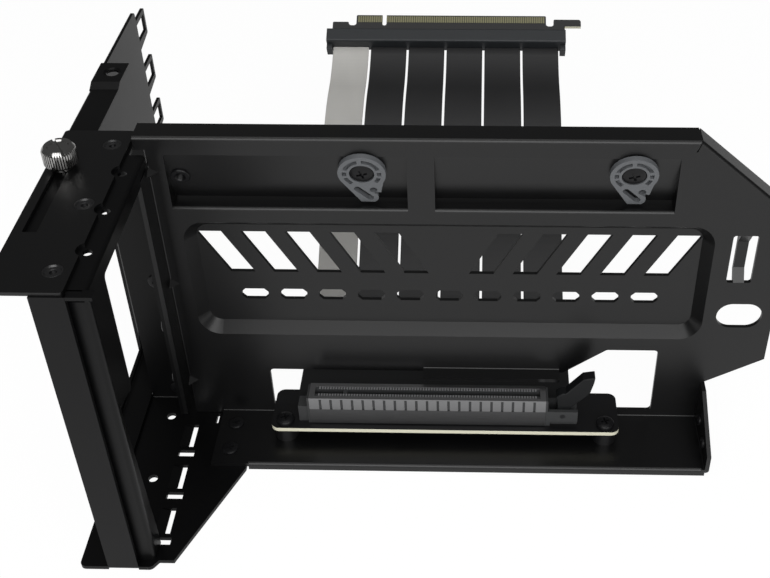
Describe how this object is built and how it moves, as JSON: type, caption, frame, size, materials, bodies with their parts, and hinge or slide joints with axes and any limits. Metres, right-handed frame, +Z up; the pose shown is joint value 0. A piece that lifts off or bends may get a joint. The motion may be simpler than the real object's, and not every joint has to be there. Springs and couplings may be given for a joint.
{
  "type": "vertical card mount",
  "caption": "Upright holder for an expansion card: folded vented panel, card frame on a foot, adjustable rear bracket, riser slot with ribbon cable and cable clips.",
  "frame": {"origin": "middle of the holder's outline at the level it stands on, without the ribbon", "axes": "+X along the panel away from the card frame, +Y from the card bay to the rear ears, +Z up"},
  "size_m": [0.2408, 0.2432, 0.1277],
  "materials": {
    "black_sheet": "fine powder coat, black",
    "grey_sheet": "fine powder coat, dark grey",
    "black_screw": "black oxide",
    "nickel": "bright nickel",
    "shield_steel": "bare thin sheet",
    "contact_gold": "gold plate",
    "clip_plastic": "moulded, grey",
    "black_plastic": "moulded, black",
    "board": "black solder mask",
    "ribbon": "folded foil sleeve, black",
    "pale_ribbon": "folded foil sleeve, light grey"
  },
  "bodies": {
    "holder": {"main_panel": "black_sheet", "card_frame": "black_sheet", "foot_bracket": "black_sheet", "top_plate": "black_sheet", "top_plate_screws": "black_screw", "panel_screws": "black_screw", "base_screws": "black_screw", "wall_screws": "black_screw", "end_rivets": "black_screw", "louvre_insert": "black_screw", "clip_screws": "black_screw", "riser_board": "board", "board_standoffs": "black_screw", "board_screws": "black_screw", "slot_housing": "black_plastic", "slot_shield": "shield_steel", "latch_pin": "black_plastic", "ribbon_anchor": "black_plastic", "edge_housing": "black_plastic", "edge_board": "board", "edge_contacts": "contact_gold", "ribbon_strip_1": "pale_ribbon", "ribbon_strip_2": "ribbon", "ribbon_strip_3": "ribbon", "ribbon_strip_4": "ribbon", "ribbon_strip_5": "ribbon", "ribbon_strip_6": "ribbon"},
    "rear_bracket": {"rear_slot_bracket": "grey_sheet", "clamp_nut": "nickel"},
    "thumbscrew": {"thumbscrew": "nickel"},
    "left_clip": {"left_cable_clip": "clip_plastic"},
    "right_clip": {"right_cable_clip": "clip_plastic"},
    "latch": {"slot_latch": "black_plastic"}
  },
  "joints": [
    {"name": "depth_slide", "type": "slide", "parent": "holder", "child": "rear_bracket", "axis": [0, -1, 0], "range_m": [0, 0.028]},
    {"name": "thumbscrew_turn", "type": "hinge", "parent": "rear_bracket", "child": "thumbscrew", "pos_m": [-0.11465, -0.0307, 0.1205], "axis": [0, 0, 1], "continuous": true},
    {"name": "left_clip_turn", "type": "hinge", "parent": "holder", "child": "left_clip", "pos_m": [-0.02175, -0.0191, 0.11211], "axis": [0, -0.9659, -0.2588], "range_deg": [-90, 90]},
    {"name": "right_clip_turn", "type": "hinge", "parent": "holder", "child": "right_clip", "pos_m": [0.06635, -0.0191, 0.11211], "axis": [0, -0.9659, -0.2588], "range_deg": [-90, 90]},
    {"name": "latch_tilt", "type": "hinge", "parent": "holder", "child": "latch", "pos_m": [0.04755, -0.0299, 0.0147], "axis": [0, 1, 0], "range_deg": [0, 25]}
  ]
}
